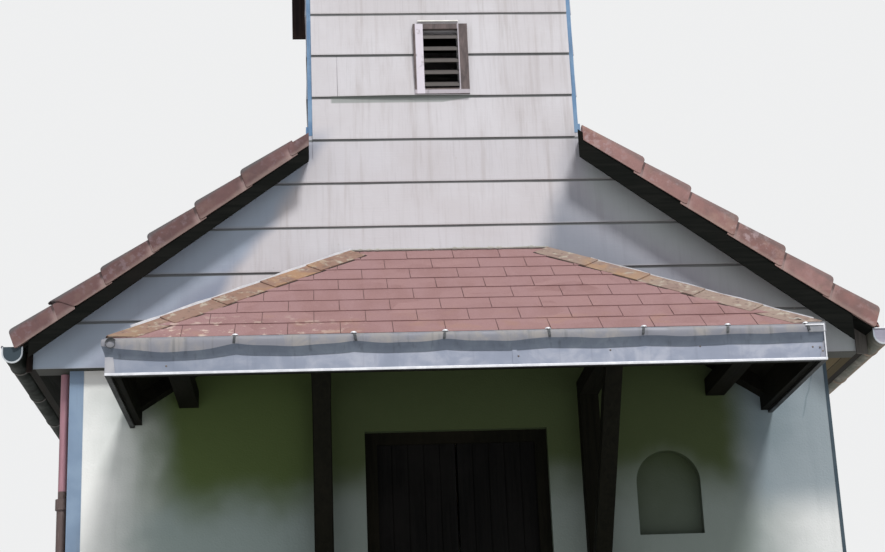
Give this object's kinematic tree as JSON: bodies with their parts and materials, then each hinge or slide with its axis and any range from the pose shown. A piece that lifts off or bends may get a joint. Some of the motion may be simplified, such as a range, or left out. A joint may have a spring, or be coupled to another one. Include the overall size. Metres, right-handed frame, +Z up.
{
  "type": "chapel",
  "caption": "Small chapel with a saddle roof, a boarded belfry tower over the front gable, a hipped canopy on braced posts, and a pair of plank doors.",
  "frame": {"origin": "centre of the walls' plan, on the ground under the floor slab", "axes": "+Z up; -Y is the front with the tower, canopy and doors; +X is to the right of a visitor facing it"},
  "size_m": [6.254, 8.369, 9.3811],
  "materials": {
    "render": "lime render, rough, stained",
    "concrete": "rough",
    "weathered_boards": "worn white paint",
    "brown_timber": "stained",
    "dark_timber": "dark stain",
    "louvre_wood": "weathered",
    "ceiling_boards": "plain",
    "clay_tiles": "fired, lichened",
    "shingles": "mineral granules",
    "zinc": "galvanised, weathered",
    "pipe_paint": "red-brown paint",
    "iron": "black painted",
    "white_paint": "worn paint",
    "glass": "clear"
  },
  "bodies": {
    "chapel": {"back_gable": "weathered_boards", "back_wall": "render", "belfry_louvres": "brown_timber", "canopy_arms": "dark_timber", "canopy_beams": "dark_timber", "canopy_deck_front": "shingles", "canopy_deck_left": "shingles", "canopy_deck_right": "shingles", "canopy_fascia": "zinc", "canopy_flashing": "zinc", "canopy_hip_caps": "shingles", "canopy_rafters": "dark_timber", "canopy_wall_rafters": "dark_timber", "ceiling": "ceiling_boards", "door_frame": "dark_timber", "door_step": "concrete", "downpipes": "pipe_paint", "eaves_boxes": "brown_timber", "eaves_fascias": "brown_timber", "finial_cross": "iron", "floor_slab": "concrete", "front_gable_left": "weathered_boards", "front_gable_right": "weathered_boards", "front_wall_left": "render", "front_wall_over_door": "render", "front_wall_right": "render", "gutters": "zinc", "hinge_pins": "iron", "porch_braces": "dark_timber", "porch_posts": "dark_timber", "post_feet": "concrete", "ridge_tiles": "clay_tiles", "roof_deck_left": "brown_timber", "roof_deck_right": "brown_timber", "roof_tiles_left": "clay_tiles", "roof_tiles_right": "clay_tiles", "side_wall_left": "render", "side_wall_right": "render", "standpipes": "pipe_paint", "tower_corner_strips": "zinc", "tower_cornice": "brown_timber", "tower_louvre": "louvre_wood", "tower_roof": "shingles", "tower_side_board": "brown_timber", "tower_wall_back": "weathered_boards", "tower_wall_front": "weathered_boards", "tower_wall_left": "weathered_boards", "tower_wall_right": "weathered_boards", "verge_tiles": "clay_tiles", "wall_corner_strips": "zinc", "window_frames": "white_paint", "window_panes": "glass"},
    "door_leaf_left": {"door_leaf_left": "dark_timber", "door_straps_left": "iron"},
    "door_leaf_right": {"door_leaf_right": "dark_timber", "door_straps_right": "iron", "door_handle": "iron"}
  },
  "joints": [
    {"name": "door_left_hinge", "type": "hinge", "parent": "chapel", "child": "door_leaf_left", "pos_m": [-0.5725, -3.146, 0.43], "axis": [0, 0, 1], "range_deg": [0, 90]},
    {"name": "door_right_hinge", "type": "hinge", "parent": "chapel", "child": "door_leaf_right", "pos_m": [0.5725, -3.146, 0.43], "axis": [0, 0, -1], "range_deg": [0, 90]}
  ]
}
